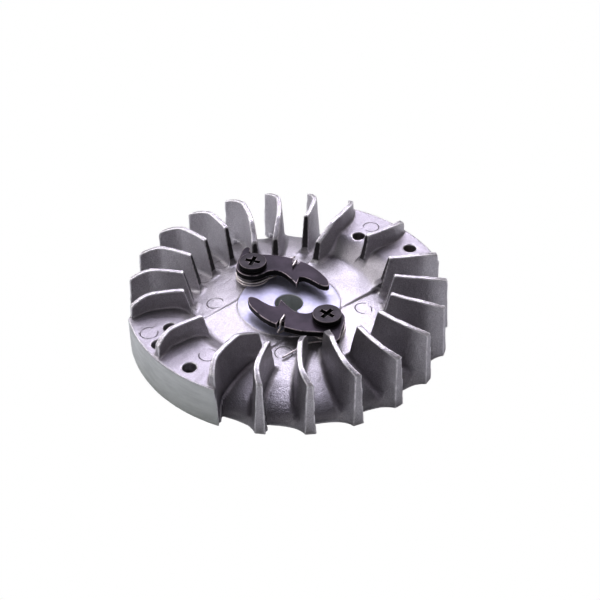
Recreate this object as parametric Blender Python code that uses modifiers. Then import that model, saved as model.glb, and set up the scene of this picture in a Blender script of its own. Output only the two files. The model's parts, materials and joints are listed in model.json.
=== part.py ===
"""Fan flywheel of a small two-stroke engine, with two spring-loaded starter pawls.

The frame: the origin is on the flywheel's axis, in the plane of the rim's lower edge.
+Z points away from the engine, to the side that carries the pawls.
Lengths are in metres and angles in radians.
"""
import math

import bmesh
import bpy
from mathutils import Matrix, Vector

MM = 0.001
DEG = math.radians(1.0)
CLEARANCE = 0.3 * MM          # gap left between neighbouring pieces
WELD = 0.001 * MM             # points closer than this are one point

# Casting: overall
OUTER_RADIUS = 50.0 * MM
BLADE_TOP = 19.8 * MM
PLATEAU_TOP = 13.7 * MM
BELOW = 2.0 * MM              # how far the rough pieces reach under the trimmed lower plane
BITE = 0.4 * MM               # how deep one rough piece starts inside another

# Casting: hub
BORE_TOP_RADIUS = 4.25 * MM
BORE_BOTTOM_RADIUS = 5.1 * MM
KEYWAY_WIDTH = 2.5 * MM
KEYWAY_DEPTH = 1.2 * MM
KEYWAY_ANGLE = -75 * DEG
DISC_RADIUS = 16.0 * MM
DISC_TOP = 8.3 * MM
HUB_BOSS_RADIUS = 10.0 * MM

# Casting: web between the hub and the blades' feet
WEB_TOP = 7.7 * MM            # height of the web beside the machined disc
DOME_RADIUS = 41.0 * MM       # the web would be DOME_EDGE high there if it didn't roll over first
DOME_EDGE = 4.8 * MM
ROLL_START = 31.0 * MM        # from here the web follows an ellipse down to the skirt's foot
ROLL_CENTRE = 20.0 * MM       # radius of the ellipse's middle
ROLL_HEIGHT = 6.84 * MM       # its upper half-axis
SKIRT_RADIUS = 46.0 * MM
RECESS_RADIUS = 42.6 * MM     # where the hollow under the web reaches the underside
RECESS_KNEE = 33.0 * MM       # where its ceiling starts to come down
RECESS_CEILING = 3.7 * MM
RECESS_FALL = 0.5 * MM        # how much lower the ceiling is at the knee than at the hub
BRIDGE_HALF_WIDTH = 12.2 * MM  # flat strip that joins the two rim sectors through the hub
BRIDGE_REACH = 30.0 * MM

# Casting: blades, counted in 22 slots, of which each rim sector takes the place of four
SLOT = 2 * math.pi / 22
SECTOR_SLOTS = (1, 2.5, 4)
SHORT_BLADE_SLOTS = (1, 2.5, 5, 8, 9, 10, 11)
LONG_BLADE_SLOTS = (4, 6, 7)
BLADE_FOOT_THICKNESS = 3.4 * MM
BLADE_TIP_THICKNESS = 1.4 * MM
BLADE_TIP_RADIUS = 48.6 * MM
BLADE_KNEE_RADIUS = 43.6 * MM
BLADE_SHOULDER = 17.6 * MM    # height of the outer top corner
BLADE_FOOT_RADIUS = 49.85 * MM
SHORT_BLADE_INNER = 32.2 * MM
LONG_BLADE_INNER = 24.8 * MM
LONG_BLADE_STEP = 15.5 * MM   # height of a long blade's inner top corner
INNER_EDGE_LEAN = 12.5 * DEG

# Casting: rim sectors
SECTOR_ANGLE = 2.5 * SLOT     # direction of the middle of the far sector
SLOPE_START = 25.0 * MM
SLOPE_END = 36.0 * MM
SECTOR_GUARD = 4 * DEG        # how far the solid underside reaches past a sector's end blades
SECTOR_WALL = 3.5 * MM        # and how far outside the slope's foot it starts

# Inserts cast into the rim sectors
INSERT_BOTTOM = 2.8 * MM
INSERT_TOP = 10.0 * MM
SHOE_INNER = 33.6 * MM
SHOE_NEAR_SIDE = 4.4 * MM
SHOE_FAR_SIDE = 12.4 * MM
MAGNET_OUTER = 40.5 * MM
SLUG_INNER = 36.0 * MM
SLUG_OUTER = 47.0 * MM
SLUG_HALF_WIDTH = 12.0 * MM
PIN_HOLE_RADIUS = 2.0 * MM
# Core-pin holes over the inserts: distance out along the sector's middle, and to its left
MAGNET_SIDE_HOLES = ((36.1 * MM, 6.6 * MM), (43.6 * MM, -9.5 * MM))
SLUG_SIDE_HOLES = ((44.7 * MM, 8.9 * MM), (45.4 * MM, -5.2 * MM), (38.3 * MM, -9.2 * MM))

# Pawls and what holds them
PIVOT = Vector((-11.5, 13.45, 0)) * MM
PIVOT_BOSS_RADIUS = 4.1 * MM
PIVOT_BOSS_TOP = 10.5 * MM
PIVOT_BOSS_WALL = 1.0 * MM    # how much thicker the boss is under the web
PAWL_BOTTOM = 10.8 * MM
PAWL_TOP = 12.8 * MM
PAWL_EYE_RADIUS = 5.4 * MM    # outline round the eye
SHOULDER_RADIUS = 3.1 * MM
THREAD_RADIUS = 2.5 * MM
BOLT_END = 2.4 * MM
HEAD_RADIUS = 4.4 * MM
HEAD_TOP = 14.8 * MM
HEAD_EDGE = 0.3 * MM          # bevel of the head and of the thread's end
CROSS_WIDTH = 1.1 * MM        # cross recess of the head
CROSS_SPAN = 4.7 * MM
CROSS_DEPTH = 1.1 * MM
CROSS_TURN = -17 * DEG
SECOND_CROSS_TURN = -38 * DEG

# Torsion springs
WIRE_RADIUS = 0.32 * MM
COIL_RADIUS = 5.4 * MM
COIL_TOP = 10.0 * MM
COIL_PITCH = 1.0 * MM
COIL_START = -48 * DEG
COIL_SWEEP = -562 * DEG
COIL_STEPS = 44

ROUND_STEPS = 96
RECESS_STEPS = 64
SMALL_STEPS = 40
HOLE_STEPS = 24

COLLECTION = bpy.data.collections.new("flywheel")


# ---------------------------------------------------------------- helpers

def clear_scene():
    """Remove whatever the file starts with and link the model's collection."""
    for obj in list(bpy.data.objects):
        bpy.data.objects.remove(obj)
    bpy.context.scene.collection.children.link(COLLECTION)


def material(name, colour, roughness, metallic):
    """A Principled BSDF with one colour."""
    result = bpy.data.materials.new(name)
    result.use_nodes = True
    shader = result.node_tree.nodes["Principled BSDF"]
    shader.inputs["Base Color"].default_value = (*colour, 1)
    shader.inputs["Roughness"].default_value = roughness
    shader.inputs["Metallic"].default_value = metallic
    return result


def add_object(name, data):
    """Put mesh or curve data into the model's collection."""
    obj = bpy.data.objects.new(name, data)
    COLLECTION.objects.link(obj)
    return obj


def evaluated_mesh(obj):
    """The object's mesh with its modifiers, or its curve, turned into plain mesh data."""
    bpy.context.view_layer.update()
    graph = bpy.context.evaluated_depsgraph_get()
    return bpy.data.meshes.new_from_object(obj.evaluated_get(graph))


def tidy_mesh(mesh, outwards=False):
    """Weld loose caps and remove slivers; turn the faces outwards where that is asked for."""
    shape = bmesh.new()
    shape.from_mesh(mesh)
    bmesh.ops.remove_doubles(shape, verts=shape.verts, dist=WELD)
    bmesh.ops.dissolve_degenerate(shape, edges=shape.edges, dist=WELD)
    if outwards:
        bmesh.ops.recalc_face_normals(shape, faces=shape.faces)
    shape.to_mesh(mesh)
    shape.free()
    return mesh


def settle(obj):
    """Replace an object by a mesh object that has its modifiers worked in."""
    name = obj.name
    mesh = tidy_mesh(evaluated_mesh(obj), outwards=True)
    matrix = obj.matrix_world.copy()
    bpy.data.objects.remove(obj)
    result = add_object(name, mesh)
    result.matrix_world = matrix
    return result


def combine(target, tool, operation):
    """Apply one Boolean to the target and discard the tool."""
    modifier = target.modifiers.new(operation.title(), "BOOLEAN")
    modifier.operation = operation
    modifier.solver = "EXACT"
    modifier.object = tool
    mesh = tidy_mesh(evaluated_mesh(target))
    target.modifiers.clear()
    target.data = mesh
    bpy.data.objects.remove(tool)
    return target


def turned(name, profile, steps=ROUND_STEPS):
    """A closed profile of (radius, height) points, turned once about +Z."""
    shape = bmesh.new()
    points = [shape.verts.new((radius, 0, height)) for radius, height in profile]
    for here, following in zip(points, points[1:] + points[:1]):
        shape.edges.new((here, following))
    mesh = bpy.data.meshes.new(name)
    shape.to_mesh(mesh)
    shape.free()
    obj = add_object(name, mesh)
    screw = obj.modifiers.new("Turn", "SCREW")
    screw.steps = steps
    screw.render_steps = steps
    screw.use_merge_vertices = True
    screw.merge_threshold = 0.01 * MM
    return settle(obj)


def cylinder(name, radius, low, high, centre=(0, 0), steps=SMALL_STEPS):
    """An upright cylinder between two heights."""
    shape = bmesh.new()
    bmesh.ops.create_cone(shape, cap_ends=True, segments=steps, radius1=radius, radius2=radius,
                          depth=high - low)
    bmesh.ops.translate(shape, verts=shape.verts, vec=(centre[0], centre[1], (low + high) / 2))
    mesh = bpy.data.meshes.new(name)
    shape.to_mesh(mesh)
    shape.free()
    return add_object(name, mesh)


def box(name, low, high, angle=0.0):
    """A box between two corners, then turned about +Z."""
    low = Vector(low)
    high = Vector(high)
    shape = bmesh.new()
    bmesh.ops.create_cube(shape, size=1)
    bmesh.ops.scale(shape, verts=shape.verts, vec=high - low)
    bmesh.ops.translate(shape, verts=shape.verts, vec=(low + high) / 2)
    bmesh.ops.rotate(shape, verts=shape.verts, matrix=Matrix.Rotation(angle, 3, "Z"))
    mesh = bpy.data.meshes.new(name)
    shape.to_mesh(mesh)
    shape.free()
    return add_object(name, mesh)


def flat_solid(name, corners, low, high, smooth=(), resolution=5):
    """An outline filled and extruded between two heights; corners named in smooth are rounded."""
    curve = bpy.data.curves.new(name, "CURVE")
    curve.dimensions = "2D"
    curve.fill_mode = "BOTH"
    curve.extrude = (high - low) / 2
    curve.resolution_u = resolution
    spline = curve.splines.new("BEZIER")
    spline.bezier_points.add(len(corners) - 1)
    spline.use_cyclic_u = True
    for index, (point, corner) in enumerate(zip(spline.bezier_points, corners)):
        handle = "AUTO" if index in smooth else "VECTOR"
        point.co = (corner[0], corner[1], 0)
        point.handle_left_type = handle
        point.handle_right_type = handle
    if not smooth:
        curve.resolution_u = 1
    obj = add_object(name, curve)
    obj.location.z = (low + high) / 2
    result = settle(obj)
    result.data.transform(result.matrix_world)
    result.matrix_world = Matrix.Identity(4)
    return result


def polar(radius, angle):
    """A point in plan, from its radius and angle."""
    return Vector((radius * math.cos(angle), radius * math.sin(angle)))


def in_sector(out, left, angle):
    """A point in plan, from its distance along a direction and to the left of it."""
    return Matrix.Rotation(angle, 2) @ Vector((out, left))


def finish(obj, look, sharp=30 * DEG):
    """Give a finished piece its material and smooth shading with sharp corners kept."""
    obj.data.materials.clear()
    obj.data.materials.append(look)
    obj.data.shade_smooth()
    obj.data.set_sharp_from_angle(angle=sharp)
    return obj


# ---------------------------------------------------------------- casting

def dome_height(radius):
    """Height of the web's upper surface between the disc and the skirt's foot."""
    if radius > ROLL_START:
        out = (radius - ROLL_CENTRE) / (SKIRT_RADIUS - ROLL_CENTRE)
        return ROLL_HEIGHT * math.sqrt(max(0.0, 1 - out ** 2))
    share = (radius - DISC_RADIUS) / (DOME_RADIUS - DISC_RADIUS)
    return WEB_TOP - (WEB_TOP - DOME_EDGE) * (0.6 * share + 0.4 * share ** 2)


def quarter(start_radius, start_height, end_radius, end_height, steps=4):
    """A rounded shoulder that leaves the start level and reaches the end upright."""
    points = []
    for step in range(1, steps + 1):
        turn = step / steps * math.pi / 2
        points.append((start_radius + (end_radius - start_radius) * math.sin(turn),
                       end_height + (start_height - end_height) * math.cos(turn)))
    return points


def hub_and_web():
    """Machined disc, domed web and skirt, still solid underneath."""
    profile = [(BORE_TOP_RADIUS, DISC_TOP), (DISC_RADIUS, DISC_TOP)]
    steps = 5
    for step in range(steps + 1):
        radius = DISC_RADIUS + (ROLL_START - DISC_RADIUS) * step / steps
        profile.append((radius, dome_height(radius)))
    steps = 9
    first = math.asin((ROLL_START - ROLL_CENTRE) / (SKIRT_RADIUS - ROLL_CENTRE))
    for step in range(1, steps + 1):
        turn = first + (math.pi / 2 - first) * step / steps
        radius = ROLL_CENTRE + (SKIRT_RADIUS - ROLL_CENTRE) * math.sin(turn)
        profile.append((radius, dome_height(radius)))
    taper = (BORE_BOTTOM_RADIUS - BORE_TOP_RADIUS) / DISC_TOP
    profile.append((SKIRT_RADIUS, -BELOW))
    profile.append((BORE_BOTTOM_RADIUS + taper * BELOW, -BELOW))
    return turned("flywheel_casting", profile)


def blade_offset(radius):
    """How far a blade's middle line lies to the left of the radius through its outer tip."""
    bow = 0.00963 / MM * (radius - 44.45 * MM) ** 2 - 2.5 * MM
    flick = max(0.0, radius - 42.3 * MM)
    return bow + 0.11 / math.sqrt(MM) * flick ** 1.5


def blade_line(inner, outer, steps):
    """Points along a blade's middle line in plan, its tip on +X."""
    points = []
    for step in range(steps + 1):
        radius = inner + (outer - inner) * step / steps
        points.append(Vector((radius, blade_offset(radius))))
    return points


def blade_envelope(name, inner_corner, knees):
    """Turned solid whose section is the side view of a blade."""
    radius, height = inner_corner
    foot = radius - (height + 2 * BELOW) * math.tan(INNER_EDGE_LEAN)
    profile = [inner_corner, *knees, (BLADE_TIP_RADIUS, BLADE_SHOULDER), (BLADE_FOOT_RADIUS, 0),
               (BLADE_FOOT_RADIUS, -2 * BELOW), (foot, -2 * BELOW)]
    return turned(name, profile)


def blade(name, inner, envelope):
    """One cast blade: a bowed sheet with all its draft on the right, trimmed to its side view."""
    steps = 13
    drift = (BLADE_FOOT_THICKNESS - BLADE_TIP_THICKNESS) / 2
    line = blade_line(inner - 6 * MM, OUTER_RADIUS + 2 * MM, steps)
    shape = bmesh.new()
    bmesh.ops.create_grid(shape, x_segments=steps, y_segments=1, size=0.5)
    for vertex in shape.verts:
        point = line[round((vertex.co.x + 0.5) * steps)]
        if vertex.co.y > 0:
            vertex.co = (point.x, point.y, BLADE_TOP + BELOW)
        else:
            vertex.co = (point.x, point.y - drift, -3 * BELOW)
    mesh = bpy.data.meshes.new(name)
    shape.to_mesh(mesh)
    shape.free()
    obj = add_object(name, mesh)
    foot = obj.vertex_groups.new(name="foot")
    foot.add([vertex.index for vertex in mesh.vertices if vertex.co.z < 0], 1.0, "REPLACE")
    thick = obj.modifiers.new("Draft", "SOLIDIFY")
    thick.thickness = BLADE_FOOT_THICKNESS
    thick.offset = 0
    thick.vertex_group = "foot"
    thick.thickness_vertex_group = BLADE_TIP_THICKNESS / BLADE_FOOT_THICKNESS
    return combine(settle(obj), envelope, "INTERSECT")


def ring_of_copies(name, master, angles):
    """One mesh that holds a copy of the master at each angle about +Z."""
    shape = bmesh.new()
    for angle in angles:
        piece = master.data.copy()
        piece.transform(Matrix.Rotation(angle, 4, "Z"))
        shape.from_mesh(piece)
        bpy.data.meshes.remove(piece)
    mesh = bpy.data.meshes.new(name)
    shape.to_mesh(mesh)
    shape.free()
    bpy.data.objects.remove(master)
    return add_object(name, mesh)


def both_sides(slots):
    """Blade angles for slots on one half and their opposites."""
    return [slot * SLOT + half for half in (0, math.pi) for slot in slots]


def all_blades():
    """Short blades, and the long ones that stop the pawls."""
    knee = (BLADE_KNEE_RADIUS, BLADE_TOP)
    short_view = blade_envelope("short_view", (SHORT_BLADE_INNER, BLADE_TOP), [knee])
    short = blade("short_blade", SHORT_BLADE_INNER, short_view)
    long_knees = [(SHORT_BLADE_INNER, BLADE_TOP), knee]
    long_view = blade_envelope("long_view", (LONG_BLADE_INNER, LONG_BLADE_STEP), long_knees)
    long = blade("long_blade", LONG_BLADE_INNER, long_view)
    return [ring_of_copies("short_blades", short, both_sides(SHORT_BLADE_SLOTS)),
            ring_of_copies("long_blades", long, both_sides(LONG_BLADE_SLOTS))]


def sector_plan(name, low, high):
    """Upright wedge whose two sides run along the middle lines of the end blades."""
    steps = 6
    first = SECTOR_SLOTS[0] * SLOT
    last = SECTOR_SLOTS[-1] * SLOT
    line = blade_line(SLOPE_START - 2 * MM, OUTER_RADIUS + 3 * MM, steps)
    corners = [Matrix.Rotation(first, 2) @ point for point in line]
    corners += [polar(OUTER_RADIUS + 8 * MM, first + (last - first) * share)
                for share in (0.25, 0.5, 0.75)]
    corners += [Matrix.Rotation(last, 2) @ point for point in reversed(line)]
    return flat_solid(name, corners, low, high)


def rim_sectors():
    """The two solid stretches of rim, with the slope that rises to their plateau."""
    steps = 8
    profile = []
    for step in range(steps + 1):
        share = step / steps
        rise = (1 - math.cos(share * math.pi)) / 2
        profile.append((SLOPE_START + (SLOPE_END - SLOPE_START) * share,
                        WEB_TOP - BITE + (PLATEAU_TOP - WEB_TOP + BITE) * rise))
    profile += [(OUTER_RADIUS, PLATEAU_TOP), (OUTER_RADIUS, -1.5 * BELOW),
                (SLOPE_START, -1.5 * BELOW)]
    ring = turned("rim_sector", profile)
    sector = combine(ring, sector_plan("sector_plan", -3 * BELOW, 2 * BLADE_TOP), "INTERSECT")
    return ring_of_copies("rim_sectors", sector, (0, math.pi))


def bridge():
    """Flat strip of web from one sector through the hub to the other."""
    strip = box("bridge", (-BRIDGE_REACH, -BRIDGE_HALF_WIDTH, 0.5 * -BELOW),
                (BRIDGE_REACH, BRIDGE_HALF_WIDTH, WEB_TOP + BITE / 2), SECTOR_ANGLE)
    bore = cylinder("bridge_bore", HUB_BOSS_RADIUS, -2 * BELOW, 2 * WEB_TOP)
    return combine(strip, bore, "DIFFERENCE")


def underside_recess():
    """What is hollow underneath: all but the hub boss, the sectors and the pivot bosses."""
    knee_height = RECESS_CEILING - RECESS_FALL
    profile = [(HUB_BOSS_RADIUS, RECESS_CEILING), (RECESS_KNEE, knee_height)]
    profile += quarter(RECESS_KNEE, knee_height, RECESS_RADIUS, 0)
    profile += [(RECESS_RADIUS, -3 * BELOW), (HUB_BOSS_RADIUS, -3 * BELOW)]
    recess = turned("recess", profile, RECESS_STEPS)
    for angle in (0, math.pi):
        first = SECTOR_SLOTS[0] * SLOT - SECTOR_GUARD + angle
        last = SECTOR_SLOTS[-1] * SLOT + SECTOR_GUARD + angle
        inner = SLOPE_START + SECTOR_WALL
        corners = [polar(radius, first + (last - first) * share)
                   for radius, shares in ((2 * inner, (0, 0.5, 1)), (inner, (1, 0.75, 0.5, 0.25, 0)))
                   for share in shares]
        guard = flat_solid("guard", corners, -4 * BELOW, WEB_TOP)
        combine(recess, guard, "DIFFERENCE")
    for side in (1, -1):
        boss = cylinder("boss", PIVOT_BOSS_RADIUS + PIVOT_BOSS_WALL, -4 * BELOW, WEB_TOP,
                        side * PIVOT.xy, HOLE_STEPS)
        combine(recess, boss, "DIFFERENCE")
    return recess


def insert_box(name, out_from, out_to, left_from, left_to, angle, margin=0.0):
    """A block in a sector, or with a margin the pocket that holds it."""
    low = (out_from - margin, left_from - margin, INSERT_BOTTOM - margin)
    high = (out_to + margin, left_to + margin, INSERT_TOP + margin)
    return box(name, low, high, angle)


def insert_sizes():
    """Name, reach along the sector and across it, and direction, of each insert."""
    beyond = OUTER_RADIUS + 5 * MM
    gap = CLEARANCE
    opposite = SECTOR_ANGLE + math.pi
    return {
        "pole_shoe_leading": (SHOE_INNER, beyond, SHOE_NEAR_SIDE, SHOE_FAR_SIDE, SECTOR_ANGLE),
        "pole_shoe_trailing": (SHOE_INNER, beyond, -SHOE_FAR_SIDE, -SHOE_NEAR_SIDE, SECTOR_ANGLE),
        "ignition_magnet": (SHOE_INNER, MAGNET_OUTER, gap - SHOE_NEAR_SIDE, SHOE_NEAR_SIDE - gap,
                            SECTOR_ANGLE),
        "balance_weight": (SLUG_INNER, SLUG_OUTER, -SLUG_HALF_WIDTH, SLUG_HALF_WIDTH, opposite),
    }


def pin_holes():
    """Upright holes from the plateaus down to the inserts."""
    holes = []
    for places, angle in ((MAGNET_SIDE_HOLES, SECTOR_ANGLE),
                          (SLUG_SIDE_HOLES, SECTOR_ANGLE + math.pi)):
        for out, left in places:
            centre = in_sector(out, left, angle)
            holes.append(cylinder("pin_hole", PIN_HOLE_RADIUS, INSERT_TOP, PLATEAU_TOP + BELOW,
                                  centre, HOLE_STEPS))
    return holes


def flywheel_casting(look):
    """The whole aluminium casting, with its machined faces, holes and insert pockets."""
    body = hub_and_web()
    combine(body, bridge(), "UNION")
    combine(body, rim_sectors(), "UNION")
    for blades in all_blades():
        combine(body, blades, "UNION")
    for side in (1, -1):
        boss = cylinder("boss", PIVOT_BOSS_RADIUS, WEB_TOP / 2, PIVOT_BOSS_TOP, side * PIVOT.xy)
        combine(body, boss, "UNION")
    for side in (1, -1):
        thread = cylinder("thread", THREAD_RADIUS + CLEARANCE, BOLT_END - CLEARANCE,
                          2 * PIVOT_BOSS_TOP, side * PIVOT.xy, HOLE_STEPS)
        combine(body, thread, "DIFFERENCE")
    combine(body, underside_recess(), "DIFFERENCE")
    for name, sizes in insert_sizes().items():
        combine(body, insert_box(name, *sizes, margin=CLEARANCE), "DIFFERENCE")
    for hole in pin_holes():
        combine(body, hole, "DIFFERENCE")
    keyway = box("keyway", (0, -KEYWAY_WIDTH / 2, -BELOW),
                 (BORE_BOTTOM_RADIUS + KEYWAY_DEPTH, KEYWAY_WIDTH / 2, 2 * DISC_TOP), KEYWAY_ANGLE)
    combine(body, keyway, "DIFFERENCE")
    reach = 2 * OUTER_RADIUS
    floor = box("floor", (-reach, -reach, -5 * BELOW), (reach, reach, 0))
    combine(body, floor, "DIFFERENCE")
    return finish(body, look)


# ---------------------------------------------------------------- inserts

def inserts(steel, magnet):
    """Pole shoes, magnet and balance weight, each a block in its pocket."""
    for name, sizes in insert_sizes().items():
        piece = insert_box(name, *sizes)
        if name.startswith("pole_shoe"):
            rim = cylinder("rim", OUTER_RADIUS, -BELOW, BLADE_TOP, steps=2 * ROUND_STEPS)
            combine(piece, rim, "INTERSECT")
        finish(piece, magnet if "magnet" in name else steel)


# ---------------------------------------------------------------- pawls, bolts and springs

def placed_twice(piece, names):
    """Set a piece that is modelled about the first pivot there, and a copy on the opposite side."""
    piece.data.transform(Matrix.Translation(-PIVOT))
    piece.name = names[0]
    piece.location = PIVOT
    twin = add_object(names[1], piece.data)
    twin.location = -PIVOT
    twin.rotation_euler.z = math.pi
    return twin


def pawl_outline():
    """Corners of the hooked pawl in plan, and the numbers of those that are rounded."""
    centre = PIVOT.xy
    corners = [
        Vector((2.45, 3.65)) * MM,      # point of the hook
        Vector((3.3, 7.2)) * MM,        # bottom of the hook's notch
        Vector((4.5, 7.3)) * MM,
        Vector((7.4, 5.4)) * MM,
        Vector((10.6, 2.75)) * MM,
        Vector((12.2, 2.7)) * MM,       # end of the tail
        Vector((12.45, 4.6)) * MM,
        Vector((9.8, 10.0)) * MM,
        Vector((6.6, 13.8)) * MM,
        Vector((3.6, 16.0)) * MM,       # notch for the spring's leg
        Vector((2.9, 14.2)) * MM,
        Vector((1.3, 14.8)) * MM,
        Vector((1.4, 17.3)) * MM,
        Vector((-3.7, 19.2)) * MM,
        Vector((-9.8, 19.9)) * MM,
        Vector((-12.8, 20.7)) * MM,     # heel that rests on a long blade
        Vector((-13.0, 23.6)) * MM,
        Vector((-13.9, 23.9)) * MM,
        Vector((-15.8, 18.9)) * MM,
    ]
    rounded = {2, 3, 4, 5, 6, 7, 8, 13, 14, 16, 17}
    for angle in (165, 195, 225, 255, 285, 312):
        rounded.add(len(corners))
        corners.append(centre + polar(PAWL_EYE_RADIUS, angle * DEG))
    hook = [(-6.4, 10.6), (-4.1, 10.75), (-1.9, 9.7), (0.1, 7.3)]
    for place in hook:
        rounded.add(len(corners))
        corners.append(Vector(place) * MM)
    return corners, rounded


def pawls(look):
    """Two flat steel pawls, each with its eye on its pivot."""
    corners, rounded = pawl_outline()
    pawl = flat_solid("pawl", corners, PAWL_BOTTOM, PAWL_TOP, rounded, resolution=4)
    eye = cylinder("eye", SHOULDER_RADIUS + CLEARANCE, 0, 2 * PAWL_TOP, PIVOT.xy)
    combine(pawl, eye, "DIFFERENCE")
    finish(pawl, look)
    placed_twice(pawl, ("starter_pawl_a", "starter_pawl_b"))


def pivot_bolts(look):
    """Shoulder bolts with a flat head and a cross recess."""
    seat = PAWL_TOP + CLEARANCE
    shoulder_end = PIVOT_BOSS_TOP + CLEARANCE
    profile = [(0, HEAD_TOP), (HEAD_RADIUS - HEAD_EDGE, HEAD_TOP),
               (HEAD_RADIUS, HEAD_TOP - HEAD_EDGE), (HEAD_RADIUS, seat), (SHOULDER_RADIUS, seat),
               (SHOULDER_RADIUS, shoulder_end), (THREAD_RADIUS, shoulder_end),
               (THREAD_RADIUS, BOLT_END + HEAD_EDGE), (THREAD_RADIUS - HEAD_EDGE, BOLT_END),
               (0, BOLT_END)]
    bolt = turned("bolt", profile, SMALL_STEPS)
    for angle in (CROSS_TURN, CROSS_TURN + math.pi / 2):
        slot = box("slot", (-CROSS_SPAN / 2, -CROSS_WIDTH / 2, HEAD_TOP - CROSS_DEPTH),
                   (CROSS_SPAN / 2, CROSS_WIDTH / 2, 2 * HEAD_TOP), angle)
        combine(bolt, slot, "DIFFERENCE")
    bolt.data.transform(Matrix.Translation(PIVOT))
    finish(bolt, look)
    twin = placed_twice(bolt, ("pivot_bolt_a", "pivot_bolt_b"))
    twin.rotation_euler.z = SECOND_CROSS_TURN - CROSS_TURN


def spring_route():
    """Middle line of the wire: hook over the pawl, leg, coil, and the leg that the casting holds."""
    over = PAWL_TOP + CLEARANCE + WIRE_RADIUS
    route = [Vector((1.2 * MM, 12.4 * MM, over)), Vector((2.3 * MM, 15.3 * MM, over)),
             Vector((2.45 * MM, 16.3 * MM, (over + COIL_TOP) / 2)),
             Vector((2.45 * MM, 16.3 * MM, COIL_TOP))]
    for step in range(COIL_STEPS + 1):
        angle = COIL_START + COIL_SWEEP * step / COIL_STEPS
        drop = COIL_PITCH * abs(COIL_SWEEP) * step / COIL_STEPS / (2 * math.pi)
        place = PIVOT.xy + polar(COIL_RADIUS, angle)
        route.append(Vector((place.x, place.y, COIL_TOP - drop)))
    for x, y, height in ((-6.3, 20.0, 8.9), (-2.7, 21.9, 8.2), (1.8, 25.2, 7.6)):
        route.append(Vector((x, y, height)) * MM)
    return route


def pawl_springs(look):
    """Two torsion springs of round wire, each coiled about a pivot under its pawl."""
    route = spring_route()
    curve = bpy.data.curves.new("spring", "CURVE")
    curve.dimensions = "3D"
    curve.bevel_depth = WIRE_RADIUS
    curve.bevel_resolution = 2
    curve.use_fill_caps = True
    spline = curve.splines.new("POLY")
    spline.points.add(len(route) - 1)
    for point, place in zip(spline.points, route):
        point.co = (*place, 1)
    spring = settle(add_object("spring", curve))
    finish(spring, look, 60 * DEG)
    placed_twice(spring, ("pawl_spring_a", "pawl_spring_b"))


def build():
    clear_scene()
    aluminium = material("cast_aluminium", (0.62, 0.60, 0.63), 0.5, 1.0)
    dark_steel = material("sintered_steel", (0.06, 0.055, 0.065), 0.45, 0.8)
    black_oxide = material("black_oxide", (0.03, 0.028, 0.03), 0.4, 0.8)
    spring_steel = material("spring_steel", (0.6, 0.58, 0.56), 0.25, 1.0)
    pole_steel = material("pole_steel", (0.30, 0.22, 0.17), 0.6, 0.9)
    magnet = material("magnet_alloy", (0.16, 0.15, 0.15), 0.6, 0.6)
    flywheel_casting(aluminium)
    inserts(pole_steel, magnet)
    pawls(dark_steel)
    pivot_bolts(black_oxide)
    pawl_springs(spring_steel)


build()
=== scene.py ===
"""Looks of the fan flywheel with starter pawls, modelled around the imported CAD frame.

Shapes are worked out in millimetres as distance fields, so that a casting gets its fillets and
rounded edges, and are then meshed in metres. The frame is the row's: Z up, the wheel's axis at
the origin, its underside at z = 0.
"""
import json
import math

import bpy
import numpy as np
from mathutils import Matrix, Vector

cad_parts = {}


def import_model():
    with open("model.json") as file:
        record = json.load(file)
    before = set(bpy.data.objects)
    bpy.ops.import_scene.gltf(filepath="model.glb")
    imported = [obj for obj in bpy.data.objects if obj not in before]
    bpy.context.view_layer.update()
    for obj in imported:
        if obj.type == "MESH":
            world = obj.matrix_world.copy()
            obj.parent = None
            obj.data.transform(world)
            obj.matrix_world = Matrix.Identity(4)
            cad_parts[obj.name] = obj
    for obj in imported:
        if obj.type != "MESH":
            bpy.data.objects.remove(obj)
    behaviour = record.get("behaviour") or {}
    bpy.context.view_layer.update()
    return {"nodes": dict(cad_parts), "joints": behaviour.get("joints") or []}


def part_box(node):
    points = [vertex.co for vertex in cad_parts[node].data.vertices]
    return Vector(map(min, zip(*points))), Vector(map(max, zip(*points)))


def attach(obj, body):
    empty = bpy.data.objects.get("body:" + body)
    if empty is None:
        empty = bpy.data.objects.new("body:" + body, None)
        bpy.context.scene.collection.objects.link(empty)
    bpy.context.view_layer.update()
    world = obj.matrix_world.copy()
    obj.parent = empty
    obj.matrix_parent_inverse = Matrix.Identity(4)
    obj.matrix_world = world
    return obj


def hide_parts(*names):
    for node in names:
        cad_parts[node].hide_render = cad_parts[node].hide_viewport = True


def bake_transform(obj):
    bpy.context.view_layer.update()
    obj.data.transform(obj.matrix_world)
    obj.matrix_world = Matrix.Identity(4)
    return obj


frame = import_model()

MM = 0.001
DEG = math.radians(1.0)

# Sizes that the frame gives, in millimetres
PIVOT = np.array(frame["joints"][0]["pos_m"][:2]) / MM
RIM_RADIUS = 50.0
BLADE_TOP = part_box("flywheel_casting")[1][2] / MM
PAWL_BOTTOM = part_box("starter_pawl_a")[0][2] / MM
PAWL_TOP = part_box("starter_pawl_a")[1][2] / MM
HEAD_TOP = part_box("pivot_bolt_a")[1][2] / MM
BOLT_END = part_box("pivot_bolt_a")[0][2] / MM
INSERT_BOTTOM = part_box("pole_shoe_leading")[0][2] / MM
INSERT_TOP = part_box("pole_shoe_leading")[1][2] / MM

# Hub, web and skirt
BORE_TOP_RADIUS = 4.25
BORE_TAPER = 0.102
KEYWAY_HALF_WIDTH = 1.25
KEYWAY_REACH = 6.3
KEYWAY_ANGLE = -75 * DEG
DISC_RADIUS = 16.0
DISC_TOP = 8.3
WEB_TOP = 7.7
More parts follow.
